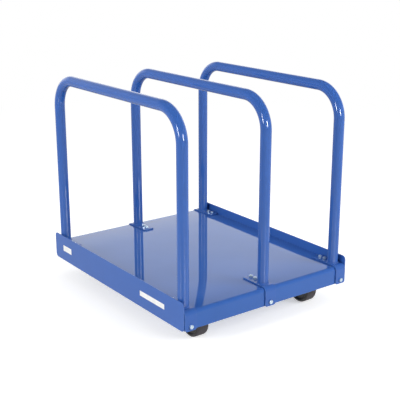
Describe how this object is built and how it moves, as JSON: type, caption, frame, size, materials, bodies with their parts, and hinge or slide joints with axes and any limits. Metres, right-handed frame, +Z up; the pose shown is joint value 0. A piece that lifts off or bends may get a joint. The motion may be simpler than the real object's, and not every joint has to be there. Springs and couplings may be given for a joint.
{
  "type": "sheet goods cart",
  "caption": "Low steel cart with a flat folded deck, lipped end plates and upright tube hoops that part bays for sheets and panels, on rigid and swivel casters.",
  "frame": {"origin": "on the floor under the middle of the cart", "axes": "+X across the hoops, +Y along the hoops towards the swivel casters, +Z up"},
  "size_m": [0.72, 0.8926, 0.8039],
  "materials": {
    "blue_paint": "gloss powder coat",
    "zinc": "bright zinc plate",
    "bearing_steel": "oiled steel",
    "wheel_rubber": "dull black moulded rubber"
  },
  "bodies": {
    "frame": {"deck": "blue_paint", "end_plate_left": "blue_paint", "end_plate_right": "blue_paint", "hoop_left": "blue_paint", "hoop_middle": "blue_paint", "hoop_right": "blue_paint", "foot_left_front": "blue_paint", "foot_left_rear": "blue_paint", "foot_middle_front": "blue_paint", "foot_middle_rear": "blue_paint", "foot_right_front": "blue_paint", "foot_right_rear": "blue_paint", "foot_bolt_left_front_inner": "zinc", "foot_bolt_left_front_outer": "zinc", "foot_bolt_left_rear_inner": "zinc", "foot_bolt_left_rear_outer": "zinc", "foot_bolt_middle_front_inner": "zinc", "foot_bolt_middle_front_outer": "zinc", "foot_bolt_middle_rear_inner": "zinc", "foot_bolt_middle_rear_outer": "zinc", "foot_bolt_right_front_inner": "zinc", "foot_bolt_right_front_outer": "zinc", "foot_bolt_right_rear_inner": "zinc", "foot_bolt_right_rear_outer": "zinc", "tab_bolt_left_front": "zinc", "tab_bolt_left_rear": "zinc", "tab_bolt_middle_front": "zinc", "tab_bolt_middle_rear": "zinc", "tab_bolt_right_front": "zinc", "tab_bolt_right_rear": "zinc", "rigid_bracket_left": "zinc", "rigid_sleeve_left": "bearing_steel", "rigid_axle_left": "zinc", "rigid_axle_nut_left": "zinc", "rigid_bracket_right": "zinc", "rigid_sleeve_right": "bearing_steel", "rigid_axle_right": "zinc", "rigid_axle_nut_right": "zinc", "swivel_plate_left": "zinc", "swivel_race_left": "bearing_steel", "kingpin_nut_left": "zinc", "swivel_plate_right": "zinc", "swivel_race_right": "bearing_steel", "kingpin_nut_right": "zinc"},
    "front_wheel_left": {"rigid_wheel_left": "wheel_rubber"},
    "front_wheel_right": {"rigid_wheel_right": "wheel_rubber"},
    "rear_fork_left": {"swivel_fork_left": "zinc", "swivel_sleeve_left": "bearing_steel", "swivel_axle_left": "zinc", "swivel_axle_nut_left": "zinc"},
    "rear_fork_right": {"swivel_fork_right": "zinc", "swivel_sleeve_right": "bearing_steel", "swivel_axle_right": "zinc", "swivel_axle_nut_right": "zinc"},
    "rear_wheel_left": {"swivel_wheel_left": "wheel_rubber"},
    "rear_wheel_right": {"swivel_wheel_right": "wheel_rubber"}
  },
  "joints": [
    {"name": "front_spin_left", "type": "hinge", "parent": "frame", "child": "front_wheel_left", "pos_m": [-0.24587, -0.33787, 0.0508], "axis": [1, 0, 0], "continuous": true},
    {"name": "front_spin_right", "type": "hinge", "parent": "frame", "child": "front_wheel_right", "pos_m": [0.24587, -0.33787, 0.0508], "axis": [1, 0, 0], "continuous": true},
    {"name": "rear_swivel_left", "type": "hinge", "parent": "frame", "child": "rear_fork_left", "pos_m": [-0.24587, 0.33787, 0.1204], "axis": [0, 0, 1], "continuous": true},
    {"name": "rear_swivel_right", "type": "hinge", "parent": "frame", "child": "rear_fork_right", "pos_m": [0.24587, 0.33787, 0.1204], "axis": [0, 0, 1], "continuous": true},
    {"name": "rear_spin_left", "type": "hinge", "parent": "rear_fork_left", "child": "rear_wheel_left", "pos_m": [-0.24587, 0.30387, 0.0508], "axis": [1, 0, 0], "continuous": true},
    {"name": "rear_spin_right", "type": "hinge", "parent": "rear_fork_right", "child": "rear_wheel_right", "pos_m": [0.24587, 0.30387, 0.0508], "axis": [1, 0, 0], "continuous": true}
  ]
}
